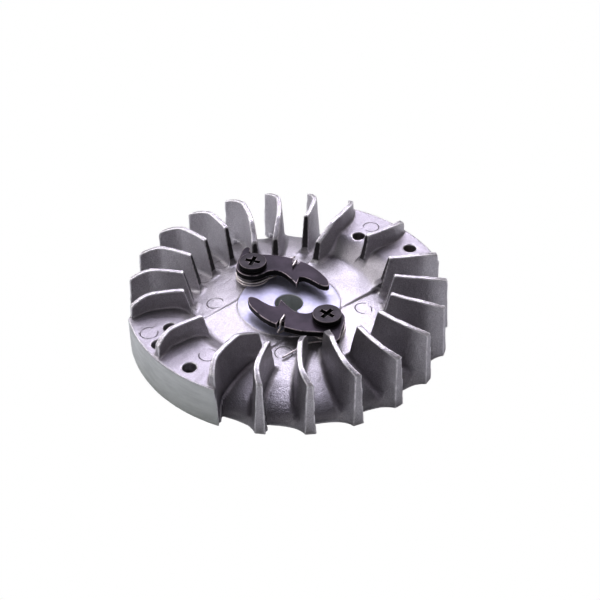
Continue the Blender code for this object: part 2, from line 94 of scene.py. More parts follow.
# The web falls to DOME_EDGE at DOME_RADIUS; this share of the fall is even, the rest quickens
DOME_RADIUS = 41.0
DOME_EDGE = 4.8
EVEN_FALL = 0.6
WEB_STEEPNESS = 1.01
SKIRT_RADIUS = 46.0
ROLL_START = 31.0
ROLL_CENTRE = 20.0
ROLL_HEIGHT = 6.84
BRIDGE_HALF_WIDTH = 12.2
BRIDGE_REACH = 30.0
BRIDGE_TOP = 7.9
HUB_BOSS_RADIUS = 10.0
RECESS_RADIUS = 42.6
RECESS_KNEE = 33.0
RECESS_CEILING = 3.7
BOWL_HEIGHT = RECESS_CEILING - 0.25
BOSS_WALL = 1.0
PIVOT_BOSS_RADIUS = 4.1
PIVOT_BOSS_TOP = 10.5
UNEVENNESS = 0.05
UNEVEN_SIZE = 9.0
# Rounding of the casting's edges and corners
STRIP_EDGE = 0.35
STRIP_FILLET = 0.5
DISC_EDGE = 0.15
DISC_FILLET = 0.35
BOSS_EDGE = 0.3
BOSS_FILLET = 0.6
SECTOR_EDGE = 0.15
SECTOR_FILLET = 0.8
CEILING_FILLET = 0.5
RECESS_FILLET = 0.8
RECESS_EDGE = 0.3
HOLE_EDGE = 0.2
BASE_EDGE = 0.2
FINE_EDGE = 0.12

# Pawls and pivot bolts
PAWL_EDGE = 0.24
SHOULDER_RADIUS = 3.1
THREAD_RADIUS = 2.5
HEAD_RADIUS = 4.4
HEAD_EDGE = 0.22
CROSS_TURNS = {"a": -17 * DEG, "b": -38 * DEG}
CROSS_HALF_WIDTH = 0.62
CROSS_REACH = 2.4
CROSS_DEPTH = 1.1
CROSS_FLARE = 0.12
CROSS_CORNER = 0.15
CROSS_EDGE = 0.1
CLEARANCE = 0.3

# Rim sectors and their inserts
SLOT = 2 * math.pi / 22
SECTOR_ANGLE = 2.5 * SLOT
SECTOR_FIRST = 1 * SLOT
SECTOR_LAST = 4 * SLOT
SECTOR_START = 15.0
SECTOR_SETBACK = 0.3
PLATEAU_TOP = 13.7
SLOPE_FOOT = WEB_TOP - 0.6
SLOPE_START = 25.0
SLOPE_END = 36.0
SECTOR_WALL = 3.5
SECTOR_END_WALL = 3.4
PIN_HOLE_RADIUS = 2.0
# Core-pin holes: distance out along the sector's middle, and to its left
FAR_HOLES = ((36.1, 6.6), (43.6, -9.5))
NEAR_HOLES = ((44.7, 8.9), (45.4, -5.2), (38.3, -9.2))
# Pockets: inner and outer reach, right and left side, and the sector's half turn
INSERT_POCKETS = (
    (33.6, 60, 4.4, 12.4, 0),
    (33.6, 60, -12.4, -4.4, 0),
    (33.6, 40.5, -4.1, 4.1, 0),
    (36, 47, -12, 12, math.pi),
)

# Blades
SHORT_SLOTS = (1, 2.5, 5, 8, 9, 10, 11)
LONG_SLOTS = (4, 6, 7)
TIP_THICKNESS = 1.4
FOOT_THICKNESS = 3.4
DRAFT_TOP = 21.8
DRAFT_HEIGHT = 27.8
SHORT_INNER = 32.2
LONG_INNER = 24.8
LONG_STEP = 15.5
KNEE_RADIUS = 43.6
SHOULDER = (48.6, 17.6)
FOOT_RADIUS = 49.85
INNER_LEAN = 12.5 * DEG
# Bow of a blade's middle line in plan, and the flick to the left at its outer end
BOW = 0.00963
BOW_MIDDLE = 44.45
BOW_OFFSET = 2.5
FLICK = 0.11
FLICK_START = 42.3
FLICK_POWER = 1.5
# Rounding of a blade's outline, and its uneven cast surface as heights, sizes and seeds
TOP_ROUNDING = 0.5
KNEE_ROUNDING = 1.2
END_ROUNDING = 0.4
BLADE_WAVES = ((0.05, 6.0, 0), (0.02, 1.6, 50))
# Where a blade's box of grid points ends, out along it and to either side of it
BLADE_REACH = (20, 52)
BLADE_SWING = (-9 * DEG, 12 * DEG)
# Fillet at a blade's foot: its radius on the web and on the plateaus
FOOT_HEIGHTS = (9.0, 12.5)
FOOT_FILLETS = (1.5, 0.7)
# The blades on the far left stand a little wider at their tips than the others
SPREAD_MIDDLE = 124 * DEG
SPREAD_WIDTH = 48 * DEG
SPREAD_REACH = 0.8
SPREAD_CURL = 0.055
# Swelling of the skirt beside each blade's right-hand foot
SWELL = 2.2
SWELL_WIDTH = 6.5

# Springs
WIRE_RADIUS = 0.32
WIRE_SIDES = 12
COIL_RADIUS = 5.4
COIL_TOP = 10.0
COIL_PITCH = 1.0
COIL_START = -48 * DEG
COIL_SWEEP = -562 * DEG
COIL_STEPS = 90
HOOK_PLACES = 4
HELD_PLACES = 3

# Meshing: grid steps for the casting and for the small pieces, and how far wear with painted
# highlight and painted shade reach
CASTING_STEP = 0.34
SMALL_STEP = 0.16
SMALL_MARGIN = 0.6
EDGE_STEPS = 1
SMALL_EDGE_STEPS = 2
HOLLOW_STEPS = 3
DEEP_STEPS = 10
BULGE_SCALE = 0.35
FLAT = 0.12
TAU = 2 * math.pi


# ---------------------------------------------------------------- distance fields

def fillet(first, second, radius):
    """Union of two fields with a round fillet where they meet."""
    meet = np.maximum(radius - first, 0) ** 2 + np.maximum(radius - second, 0) ** 2
    return np.maximum(radius, np.minimum(first, second)) - np.sqrt(meet)


def trim(first, second, radius):
    """Intersection of two fields with a rounded edge where they meet."""
    meet = np.maximum(radius + first, 0) ** 2 + np.maximum(radius + second, 0) ** 2
    return np.minimum(-radius, np.maximum(first, second)) + np.sqrt(meet)


def turn(x, y, angle):
    """Plan coordinates along and to the left of a direction."""
    return x * math.cos(angle) + y * math.sin(angle), y * math.cos(angle) - x * math.sin(angle)


def slab(value, low, high):
    """Field of the stretch between two limits."""
    return np.maximum(low - value, value - high)


def ripple(x, y, z, size, seed):
    """Smooth, repeatable unevenness between about -1 and 1."""
    draw = np.random.default_rng(seed)
    total = 0
    for _ in range(6):
        way = draw.normal(size=3)
        way *= TAU / size / np.linalg.norm(way) * draw.uniform(0.7, 1.4)
        total = total + np.sin(way[0] * x + way[1] * y + way[2] * z + draw.uniform(0, TAU))
    return total / 3


class Grid:
    """A regular grid of points, in millimetres."""

    def __init__(self, low, high, step):
        self.step = step
        self.low = np.array(low, float)
        count = np.ceil((np.array(high) - self.low) / step).astype(int) + 1
        axes = [self.low[i] + step * np.arange(count[i]) for i in range(3)]
        self.axes = [axis.astype(np.float32) for axis in axes]

    def window(self, low, high):
        """Slices of the grid that cover a box."""
        slices = []
        for axis, start, end in zip(self.axes, low, high):
            slices.append(slice(int(np.searchsorted(axis, start)),
                                int(np.searchsorted(axis, end)) + 1))
        return tuple(slices)

    def points(self, window=(slice(None),) * 3):
        """Coordinates that broadcast against each other."""
        x, y, z = (axis[part] for axis, part in zip(self.axes, window))
        return x[:, None, None], y[None, :, None], z[None, None, :]


def sample(field, grid, places):
    """Values of a field at any places, by linear interpolation."""
    at = (places - grid.low) / grid.step
    top = np.array(field.shape) - 2
    cell = np.clip(np.floor(at).astype(int), 0, top)
    share = np.clip(at - cell, 0, 1)
    total = np.zeros(len(places))
    for corner in np.ndindex(2, 2, 2):
        weight = np.prod(np.where(corner, share, 1 - share), axis=1)
        i, j, k = (cell + corner).T
        total += weight * field[i, j, k]
    return total


def net(field, grid, passes=2):
    """Vertices and quads of a field's zero surface: one vertex in each cell that it crosses."""
    inside = field < 0
    shape = np.array(field.shape) - 1
    count = np.zeros(shape, np.int8)
    for corner in np.ndindex(2, 2, 2):
        part = tuple(slice(c, c + n) for c, n in zip(corner, shape))
        count += inside[part]
    crossed = (count > 0) & (count < 8)
    number = np.full(shape, -1, np.int64)
    number[crossed] = np.arange(crossed.sum())
    cells = np.argwhere(crossed)
    total = np.zeros((len(cells), 3))
    hits = np.zeros(len(cells))
    for axis in range(3):
        along = np.eye(3, dtype=int)[axis]
        for corner in np.ndindex(2, 2, 2):
            if corner[axis]:
                continue
            start = cells + corner
            end = start + along
            a = field[tuple(start.T)].astype(float)
            b = field[tuple(end.T)].astype(float)
            hit = (a < 0) != (b < 0)
            share = a / np.where(hit, a - b, 1)
            total += np.where(hit[:, None], np.array(corner) + share[:, None] * along, 0)
            hits += hit
    vertices = grid.low + (cells + total / hits[:, None]) * grid.step
    for _ in range(passes):
        value = sample(field, grid, vertices)
        slope = gradient(field, grid, vertices)
        move = (value / np.maximum((slope ** 2).sum(1), 0.2))[:, None] * slope
        vertices -= np.clip(move, -grid.step / 2, grid.step / 2)
    quads = []
    for axis in range(3):
        u, v = (axis + 1) % 3, (axis + 2) % 3
        along, side, over = (np.eye(3, dtype=int)[i] for i in (axis, u, v))
        here = [slice(1, -1)] * 3
        here[axis] = slice(0, -1)
        ahead = list(here)
        ahead[axis] = slice(1, None)
        first, second = inside[tuple(here)], inside[tuple(ahead)]
        edges = np.argwhere(first != second) + 1 - along
        ring = [number[tuple((edges - step).T)]
                for step in (0 * side, side, side + over, over)]
        ring = np.stack(ring, axis=1)
        out = inside[tuple(edges.T)]
        ring[~out] = ring[~out][:, ::-1]
        quads.append(ring)
    return vertices, np.concatenate(quads)


def gradient(field, grid, places):
    """Slope of a field at any places."""
    reach = grid.step / 2
    columns = []
    for axis in range(3):
        shift = np.zeros(3)
        shift[axis] = reach
        ahead = sample(field, grid, places + shift)
        behind = sample(field, grid, places - shift)
        columns.append((ahead - behind) / (2 * reach))
    return np.stack(columns, axis=1)


def soften(field, reach):
    """Mean of a field over a cube of 2 * reach + 1 grid points a side."""
    result = field.astype(np.float64)
    width = 2 * reach + 1
    for axis in range(3):
        pad = [(0, 0)] * 3
        pad[axis] = (reach + 1, reach)
        total = np.cumsum(np.pad(result, pad, mode="edge"), axis=axis)
        length = total.shape[axis]
        ahead = np.take(total, range(width, length), axis=axis)
        behind = np.take(total, range(0, length - width), axis=axis)
        result = (ahead - behind) / width
    return result


def bulge(field, grid, places, reach):
    """How convex the surface is at each place, from about -1 in a corner to 1 on an edge."""
    near = np.clip(field, -2 * reach * grid.step, 2 * reach * grid.step)
    return sample(soften(near, reach), grid, places) / (BULGE_SCALE * reach * grid.step)


# ---------------------------------------------------------------- meshes

def mesh_object(name, vertices, quads, values=None):
    """A smooth-shaded object from millimetre vertices, with named values on its points."""
    mesh = bpy.data.meshes.new(name)
    mesh.vertices.add(len(vertices))
    mesh.vertices.foreach_set("co", (vertices * MM).astype(np.float32).ravel())
    mesh.loops.add(4 * len(quads))
    mesh.loops.foreach_set("vertex_index", quads.astype(np.int32).ravel())
    mesh.polygons.add(len(quads))
    mesh.polygons.foreach_set("loop_start", np.arange(0, 4 * len(quads), 4, dtype=np.int32))
    mesh.update(calc_edges=True)
    mesh.validate()
    mesh.shade_smooth()
    for key, numbers in (values or {}).items():
        layer = mesh.attributes.new(key, "FLOAT", "POINT")
        layer.data.foreach_set("value", np.asarray(numbers, np.float32))
    obj = bpy.data.objects.new(name, mesh)
    bpy.context.scene.collection.objects.link(obj)
    return obj


def stand_for(obj, body, slot, *nodes):
    """The object rides on a body and is shown in place of CAD nodes."""
    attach(obj, body)
    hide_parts(*nodes)
    return obj


# ---------------------------------------------------------------- casting

def blade_sheet(x, y, angle, curl=0.0):
    """Distance to the left of a blade's middle surface, which is bowed and flicks to the left."""
    out, left = turn(x, y, angle)
    flick = np.maximum(0, out - FLICK_START)
    offset = BOW * (out - BOW_MIDDLE) ** 2 - BOW_OFFSET + (FLICK + curl) * flick ** FLICK_POWER
    slope = 2 * BOW * (out - BOW_MIDDLE) + FLICK_POWER * (FLICK + curl) * np.sqrt(flick)
    return (left - offset) / np.sqrt(1 + slope ** 2)


def blade(x, y, z, angle, long, seed):
    """One cast blade, bowed, with all its draft on the right."""
    radius = np.hypot(x, y)
    spread = math.exp(-((angle - SPREAD_MIDDLE) / SPREAD_WIDTH) ** 4)
    tip = SHOULDER[0] + SPREAD_REACH * spread
    curl = SPREAD_CURL * spread
    draft = (DRAFT_TOP - z) / DRAFT_HEIGHT
    half = (TIP_THICKNESS + (FOOT_THICKNESS - TIP_THICKNESS) * draft) / 2
    middle = (TIP_THICKNESS - FOOT_THICKNESS) / 2 * draft
    sides = np.abs(blade_sheet(x, y, angle, curl) - middle) - half
    inner = LONG_INNER if long else SHORT_INNER
    corner = LONG_STEP if long else BLADE_TOP
    lean = (inner - radius) * math.cos(INNER_LEAN) - (corner - z) * math.sin(INNER_LEAN)
    view = trim(z - BLADE_TOP, lean, TOP_ROUNDING)
    if long:
        ramp = math.atan2(BLADE_TOP - LONG_STEP, SHORT_INNER - LONG_INNER)
        rise = (z - LONG_STEP) * math.cos(ramp) - (radius - LONG_INNER) * math.sin(ramp)
        view = trim(view, rise, TOP_ROUNDING)
    fall = math.atan2(BLADE_TOP - SHOULDER[1], SHOULDER[0] - KNEE_RADIUS)
    knee = KNEE_RADIUS + tip - SHOULDER[0]
    slant = (z - BLADE_TOP) * math.cos(fall) + (radius - knee) * math.sin(fall)
    view = trim(view, slant, KNEE_ROUNDING)
    flare = math.atan2(FOOT_RADIUS - tip, SHOULDER[1])
    end = (radius - tip) * math.cos(flare) + (z - SHOULDER[1]) * math.sin(flare)
    view = trim(view, end, END_ROUNDING)
    field = trim(sides, view, FINE_EDGE)
    for height, size, shift in BLADE_WAVES:
        field = field + height * ripple(x, y, z, size, seed + shift)
    return field


def skirt_swell(x, y):
    """How far the skirt's lower edge bulges out beside the blades."""
    swell = 0 * (x + y)
    for angle, _, _ in blade_places():
        beside = -blade_sheet(x, y, angle) - FOOT_THICKNESS / 2
        near = np.clip(1 - np.maximum(beside, 0) / SWELL_WIDTH, 0, 1) ** 2
        near = np.where((turn(x, y, angle)[0] > ROLL_START) & (beside > -FOOT_THICKNESS), near, 0)
        swell = np.maximum(swell, SWELL * near)
    return swell


def web_and_skirt(x, y, z):
    """Web that falls from the disc and rolls over, along an ellipse, into the skirt."""
    radius = np.hypot(x, y)
    share = np.clip((radius - ROLL_START) / (SKIRT_RADIUS - ROLL_START), 0, 1)
    radius = radius - skirt_swell(x, y) * share ** 2
    share = (radius - DISC_RADIUS) / (DOME_RADIUS - DISC_RADIUS)
    fall = EVEN_FALL * share + (1 - EVEN_FALL) * share ** 2
    height = WEB_TOP - (WEB_TOP - DOME_EDGE) * fall
    top = (z - np.minimum(height, WEB_TOP)) / WEB_STEEPNESS
    across = SKIRT_RADIUS - ROLL_CENTRE
    out = np.maximum(radius - ROLL_CENTRE, 0) / across
    up = np.maximum(z, 0) / ROLL_HEIGHT
    ellipse = np.hypot(out, up)
    steep = np.hypot(out / across, up / ROLL_HEIGHT) / np.maximum(ellipse, 1e-6)
    roll = (ellipse - 1) / np.maximum(steep, 1 / across)
    return np.where(radius < ROLL_START, top, roll)


def sector(x, y, z, turned):
    """One solid stretch of rim with the slope up to its plateau."""
    radius = np.hypot(x, y)
    share = np.clip((radius - SLOPE_START) / (SLOPE_END - SLOPE_START), 0, 1)
    height = SLOPE_FOOT + (PLATEAU_TOP - SLOPE_FOOT) * (1 - np.cos(share * math.pi)) / 2
    mean_slope = (PLATEAU_TOP - SLOPE_FOOT) / (SLOPE_END - SLOPE_START)
    steep = math.pi / 2 * mean_slope * np.sin(share * math.pi)
    top = (z - height) / np.sqrt(1 + steep ** 2)
    body = trim(top, radius - RIM_RADIUS, SECTOR_EDGE)
    first = -blade_sheet(x, y, SECTOR_FIRST + turned) - SECTOR_SETBACK
    last = blade_sheet(x, y, SECTOR_LAST + turned) - SECTOR_SETBACK
    facing = turn(x, y, SECTOR_ANGLE + turned)[0]
    return np.maximum(np.maximum(body, np.maximum(first, last)), SECTOR_START - facing)


def pivot_distance(x, y, side):
    """Distance in plan from the axis of one of the two pivots."""
    return np.hypot(x - side * PIVOT[0], y - side * PIVOT[1])


def recess(x, y, z):
    """Space under the web: all but the hub boss, the sectors and the pivot bosses."""
    radius = np.hypot(x, y)
    across = np.maximum(radius - RECESS_KNEE, 0) / (RECESS_RADIUS - RECESS_KNEE)
    bowl = np.hypot(across, np.maximum(z, 0) / BOWL_HEIGHT) - 1
    hollow = trim(z - RECESS_CEILING, 3 * bowl, CEILING_FILLET)
    hollow = trim(hollow, HUB_BOSS_RADIUS - radius, RECESS_FILLET)
    for turned in (0, math.pi):
        low = blade_sheet(x, y, SECTOR_FIRST + turned) + SECTOR_END_WALL
        high = -blade_sheet(x, y, SECTOR_LAST + turned) + SECTOR_END_WALL
        guard = np.minimum(np.minimum(low, high), radius - SLOPE_START - SECTOR_WALL)
        guard = np.minimum(guard, turn(x, y, SECTOR_ANGLE + turned)[0] - SECTOR_START)
        hollow = trim(hollow, guard, RECESS_FILLET)
    for side in (1, -1):
        away = pivot_distance(x, y, side)
        hollow = trim(hollow, PIVOT_BOSS_RADIUS + BOSS_WALL - away, RECESS_FILLET)
    return hollow


def insert_pockets(x, y, z):
    """Pockets of the inserts, with their clearance."""
    pockets = None
    for inner, outer, right, left, turned in INSERT_POCKETS:
        out, side = turn(x, y, SECTOR_ANGLE + turned)
        pocket = np.maximum(slab(out, inner, outer), slab(side, right, left))
        pocket = np.maximum(pocket, slab(z, INSERT_BOTTOM, INSERT_TOP)) - CLEARANCE
        pockets = pocket if pockets is None else np.minimum(pockets, pocket)
    return pockets


def blade_places():
    """Angle of each blade, whether it is a long one, and the seed of its unevenness."""
    for half in (0, math.pi):
        for number, slot in enumerate(SHORT_SLOTS + LONG_SLOTS):
            yield slot * SLOT + half, slot in LONG_SLOTS, 7 * number + (3 if half else 0)


def add_blades(field, grid):
    """Join every blade to the field, each within its own box of grid points."""
    for angle, long, seed in blade_places():
        ends = [np.array([math.cos(angle + bend), math.sin(angle + bend)]) * reach
                for reach in BLADE_REACH for bend in BLADE_SWING]
        low = np.min(ends, axis=0) - 2
        high = np.max(ends, axis=0) + 2
        window = grid.window((*low, -5), (*high, BLADE_TOP + 10))
        x, y, z = grid.points(window)
        foot = np.interp(z, FOOT_HEIGHTS, FOOT_FILLETS).astype(np.float32)
        field[window] = fillet(field[window], blade(x, y, z, angle, long, seed), foot)


def solid_parts(grid):
    """The web and skirt, the strip, the disc, the sectors, the bosses and the blades."""
    x, y, z = grid.points()
    radius = np.hypot(x, y)
    uneven = UNEVENNESS * ripple(x, y, 0 * z, UNEVEN_SIZE, 1)
    field = (web_and_skirt(x, y, z) + uneven).astype(np.float32)
    out, side = turn(x, y, SECTOR_ANGLE)
    strip = np.maximum(np.abs(out) - BRIDGE_REACH, np.abs(side) - BRIDGE_HALF_WIDTH)
    field = fillet(field, trim(z - BRIDGE_TOP, strip, STRIP_EDGE), STRIP_FILLET)
    disc = trim(z - DISC_TOP, radius - DISC_RADIUS, DISC_EDGE)
    field = fillet(field, disc, DISC_FILLET)
    for turned in (0, math.pi):
        field = fillet(field, sector(x, y, z, turned), SECTOR_FILLET)
    for side in (1, -1):
        boss = pivot_distance(x, y, side) - PIVOT_BOSS_RADIUS
        field = fillet(field, trim(boss, z - PIVOT_BOSS_TOP, BOSS_EDGE), BOSS_FILLET)
    add_blades(field, grid)
    return trim(field, radius - RIM_RADIUS, FINE_EDGE)


def casting_field(grid):
    """The whole aluminium casting: its solid parts, less its recess, pockets and holes."""
    x, y, z = grid.points()
    field = trim(solid_parts(grid), -recess(x, y, z), RECESS_EDGE)
    field = np.maximum(field, -insert_pockets(x, y, z))
    for places, turned in ((FAR_HOLES, 0), (NEAR_HOLES, math.pi)):
        out, side = turn(x, y, SECTOR_ANGLE + turned)
        for centre_out, centre_left in places:
            hole = np.hypot(out - centre_out, side - centre_left) - PIN_HOLE_RADIUS
            field = trim(field, -np.maximum(hole, INSERT_TOP - z), HOLE_EDGE)
    for side in (1, -1):
        thread = pivot_distance(x, y, side) - THREAD_RADIUS - CLEARANCE
        field = np.maximum(field, -np.maximum(thread, BOLT_END - CLEARANCE - z))
    bore = np.hypot(x, y) - BORE_TOP_RADIUS - BORE_TAPER * (DISC_TOP - z)
    out, side = turn(x, y, KEYWAY_ANGLE)
    key = np.maximum(slab(out, 0, KEYWAY_REACH), np.abs(side) - KEYWAY_HALF_WIDTH)
    field = trim(field, -np.minimum(bore, key), FINE_EDGE)
    return trim(field, -z, BASE_EDGE)


def machined_places(radius, z):
    """1 on the disc, the rim's wall, the bore and the underside, 0 elsewhere."""
    disc = (radius < DISC_RADIUS - 0.1) & (np.abs(z - DISC_TOP) < FLAT)
    wall = (radius > RIM_RADIUS - FLAT) & (z < PLATEAU_TOP - 0.1)
    bore = (radius < KEYWAY_REACH + 0.3) & (z < DISC_TOP - 0.1)
    base = z < FLAT
    return np.where(disc | wall | bore | base, 1.0, 0.0)


def rising(value, start, end):
    """0 up to a start, 1 from an end, and a straight line between; the end may come first."""
    return np.clip((value - start) / (end - start), 0, 1)


def casting_values(field, grid, vertices):
    """Where the casting is machined, worn and given painted highlight, and where painted shade
    goes, as values on its points.
    """
    x, y, z = vertices.T
    radius = np.hypot(x, y)
    slope = gradient(field, grid, vertices)
    facing = slope[:, 2]
    # Painted shade: the blades' inner ends, which face the hub, are painted nearly black
    inward = -(slope[:, 0] * x + slope[:, 1] * y) / np.maximum(radius, 1)
    upright = (radius < SHORT_INNER + 1) & (z > WEB_TOP + 1) & (np.abs(facing) < 0.4)
    inward = rising(inward, 0.45, 0.75) * upright
    # Painted shade: the upward-facing plateaus are painted a little greyer than the web, and the
    # skirt is painted darker low down
    plateau_shade = rising(z, WEB_TOP, PLATEAU_TOP) * np.clip(facing, 0, 1) * (z < PLATEAU_TOP + 0.3)
    low = rising(z, 7, 3) * rising(radius, SKIRT_RADIUS + 0.4, SKIRT_RADIUS - 0.2)
    below_plateau = rising(z, PLATEAU_TOP - 0.7, PLATEAU_TOP - 2.7)
    return {
        "machined": machined_places(radius, z),
        "plateau_shade": plateau_shade,
        "low": low,
        # Convex edges get wear and painted highlight; corners and wider hollows get painted shade
        "edge": bulge(field, grid, vertices, EDGE_STEPS),
        "hollow": bulge(field, grid, vertices, HOLLOW_STEPS),
        "deep_shade": bulge(field, grid, vertices, DEEP_STEPS) * below_plateau,
        "facing": np.clip(facing, -1, 1),
        "inward": inward,
    }


def casting():
    """The casting's piece."""
    reach = RIM_RADIUS + 1.5
    grid = Grid((-reach, -reach, -1.5), (reach, reach, BLADE_TOP + 1.5), CASTING_STEP)
    field = casting_field(grid)
    vertices, quads = net(field, grid)
    obj = mesh_object("casting", vertices, quads, casting_values(field, grid, vertices))
    obj.data.materials.append(cast_aluminium())
    stand_for(obj, "flywheel", "cast_aluminium", "flywheel_casting")
    return obj


# ---------------------------------------------------------------- pawls and bolts

def outline(node, height):
    """Plan segments of a flat CAD node's edges at one height, in millimetres."""
    mesh = frame["nodes"][node].data
    places = np.array([vertex.co[:] for vertex in mesh.vertices]) / MM
    level = np.abs(places[:, 2] - height) < 0.01
    plan = [(round(x, 3), round(y, 3)) for x, y in places[:, :2]]
    uses = {}
    for polygon in mesh.polygons:
        corners = list(polygon.vertices)
        if not all(level[corner] for corner in corners):
            continue
        for here, following in zip(corners, corners[1:] + corners[:1]):
            edge = tuple(sorted((plan[here], plan[following])))
            uses[edge] = uses.get(edge, 0) + 1
    return np.array([edge for edge, count in uses.items() if count == 1])


def plan_distance(x, y, segments):
    """Distance in plan to an outline, negative inside it."""
    nearest = np.full(np.broadcast(x, y).shape, 1e9)
    inside = np.zeros(nearest.shape, bool)
    for (ax, ay), (bx, by) in segments:
        dx, dy = bx - ax, by - ay
        share = np.clip(((x - ax) * dx + (y - ay) * dy) / (dx * dx + dy * dy), 0, 1)
        nearest = np.minimum(nearest, np.hypot(x - ax - share * dx, y - ay - share * dy))
        spans = (ay > y) != (by > y)
        if dy:
            inside ^= spans & (x < ax + (y - ay) * dx / dy)
    return np.where(inside, -nearest, nearest)


def small_grid(node):
    """A fine grid round a CAD node."""
    low, high = (np.array(corner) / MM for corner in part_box(node))
    return Grid(low - SMALL_MARGIN, high + SMALL_MARGIN, SMALL_STEP)


def small_values(field, grid, vertices):
    """How convex each point of a small piece is, for wear and painted highlight on its edges, and
    how level, for painted shade on its sides.
    """
    return {
        "edge": bulge(field, grid, vertices, SMALL_EDGE_STEPS),
        "facing": np.clip(gradient(field, grid, vertices)[:, 2], 0, 1),
    }


def pawl(letter):
    """A stamped pawl: a flat plate with rolled edges, worn bright along them, with a painted
    highlight there too.
    """
    node = "starter_pawl_" + letter
    grid = small_grid(node)
    x, y, z = grid.points()
    flat = plan_distance(x, y, outline(node, PAWL_TOP))
    field = trim(flat, slab(z, PAWL_BOTTOM, PAWL_TOP), PAWL_EDGE)
    vertices, quads = net(field, grid)
    obj = mesh_object("pawl_" + letter, vertices, quads, small_values(field, grid, vertices))
    obj.data.materials.append(pawl_steel())
    stand_for(obj, "pawl_" + letter, "sintered_steel", node)
    return obj


def bolt(letter, side):
    """A shoulder bolt with a low head and a cross recess."""
    node = "pivot_bolt_" + letter
    grid = small_grid(node)
    x, y, z = grid.points()
    radius = pivot_distance(x, y, side)
    seat = PAWL_TOP + CLEARANCE
    head = trim(radius - HEAD_RADIUS, slab(z, seat, HEAD_TOP), HEAD_EDGE)
    shoulder_height = slab(z, PIVOT_BOSS_TOP + CLEARANCE, seat + 0.5)
    shoulder = np.maximum(radius - SHOULDER_RADIUS, shoulder_height)
    thread = np.maximum(radius - THREAD_RADIUS, slab(z, BOLT_END, HEAD_TOP - CROSS_DEPTH - 0.3))
    field = np.minimum(np.minimum(head, shoulder), thread)
    flare = CROSS_FLARE * (HEAD_TOP - z)
    recess_floor = HEAD_TOP - CROSS_DEPTH - z
    for angle in (CROSS_TURNS[letter], CROSS_TURNS[letter] + math.pi / 2):
        along, across = turn(x - side * PIVOT[0], y - side * PIVOT[1], angle)
        walls = np.abs(across) - CROSS_HALF_WIDTH + flare
        arm = trim(walls, np.abs(along) - CROSS_REACH + 2 * flare, CROSS_CORNER)
        field = trim(field, -np.maximum(arm, recess_floor), CROSS_EDGE)
    vertices, quads = net(field, grid)
    away = pivot_distance(vertices[:, 0], vertices[:, 1], side)
    height = vertices[:, 2]
    sunk = (away < CROSS_REACH + 0.6) & (height < HEAD_TOP - 0.15) & (height > seat)
    values = {**small_values(field, grid, vertices), "sunk": sunk}
    obj = mesh_object("bolt_" + letter, vertices, quads, values)
    obj.data.materials.append(black_oxide())
    stand_for(obj, "flywheel", "black_oxide", node)
    return obj


# ---------------------------------------------------------------- springs

def smooth_path(points, steps):
    """Points along a smooth curve through the given ones."""
    points = [2 * points[0] - points[1], *points, 2 * points[-1] - points[-2]]
    result = []
    for a, b, c, d in zip(points, points[1:], points[2:], points[3:]):
        for step in range(steps):
            t = step / steps
            result.append(0.5 * (2 * b + (c - a) * t + (2 * a - 5 * b + 4 * c - d) * t * t
                                 + (3 * b - a - 3 * c + d) * t ** 3))
    result.append(points[-2])
    return result


def spring_route(side):
    """Middle line of one wire: hook over the pawl, leg, coil, and the leg held by the casting."""
    over = PAWL_TOP + CLEARANCE + WIRE_RADIUS
    hook = [(1.2, 12.4, over), (2.3, 15.3, over), (2.45, 16.3, (over + COIL_TOP) / 2),
            (2.45, 16.3, COIL_TOP)]
    still = [(-6.3, 20.0, 8.9), (-2.7, 21.9, 8.2), (1.8, 25.2, 7.6)]
    coil = []
    for step in range(COIL_STEPS + 1):
        angle = COIL_START + COIL_SWEEP * step / COIL_STEPS
        drop = COIL_PITCH * abs(COIL_SWEEP) / TAU * step / COIL_STEPS
        coil.append((PIVOT[0] + COIL_RADIUS * math.cos(angle),
                     PIVOT[1] + COIL_RADIUS * math.sin(angle), COIL_TOP - drop))
    route = [np.array(place, float) for place in hook + coil + still]
    spin = np.diag((side, side, 1.0))
    return [spin @ place for place in route]


def tube(name, path):
    """A closed round wire along a path, in millimetres."""
    path = np.array(path)
    ways = np.gradient(path, axis=0)
    ways /= np.linalg.norm(ways, axis=1)[:, None]
    across = np.cross(ways[0], (0, 0, 1.0))
    rings = []
    for place, way in zip(path, ways):
        across = across - way * (across @ way)
        across /= np.linalg.norm(across)
        up = np.cross(way, across)
        for number in range(WIRE_SIDES):
            angle = TAU * number / WIRE_SIDES
            out = math.cos(angle) * across + math.sin(angle) * up
            rings.append(place + WIRE_RADIUS * out)
    faces = []
    for ring in range(len(path) - 1):
        for number in range(WIRE_SIDES):
            here = ring * WIRE_SIDES + number
            beside = ring * WIRE_SIDES + (number + 1) % WIRE_SIDES
            faces.append((here, beside, beside + WIRE_SIDES, here + WIRE_SIDES))
    last = (len(path) - 1) * WIRE_SIDES
    faces.append(tuple(reversed(range(WIRE_SIDES))))
    faces.append(tuple(range(last, last + WIRE_SIDES)))
    mesh = bpy.data.meshes.new(name)
    mesh.from_pydata([tuple(place * MM) for place in rings], [], faces)
    mesh.update()
    mesh.shade_smooth()
    obj = bpy.data.objects.new(name, mesh)
    bpy.context.scene.collection.objects.link(obj)
    return obj


def spring(letter, side):
    """A torsion spring, shown in place of its CAD node."""
    route = spring_route(side)
    hook = smooth_path(route[:HOOK_PLACES + 1], 6)[:-1]
    held = smooth_path(route[-HELD_PLACES - 1:], 8)
    obj = tube("spring_" + letter, hook + route[HOOK_PLACES:-HELD_PLACES - 1] + held)
    obj.data.materials.append(spring_steel())
    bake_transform(obj)
    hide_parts("pawl_spring_" + letter)
    return obj


# ---------------------------------------------------------------- materials

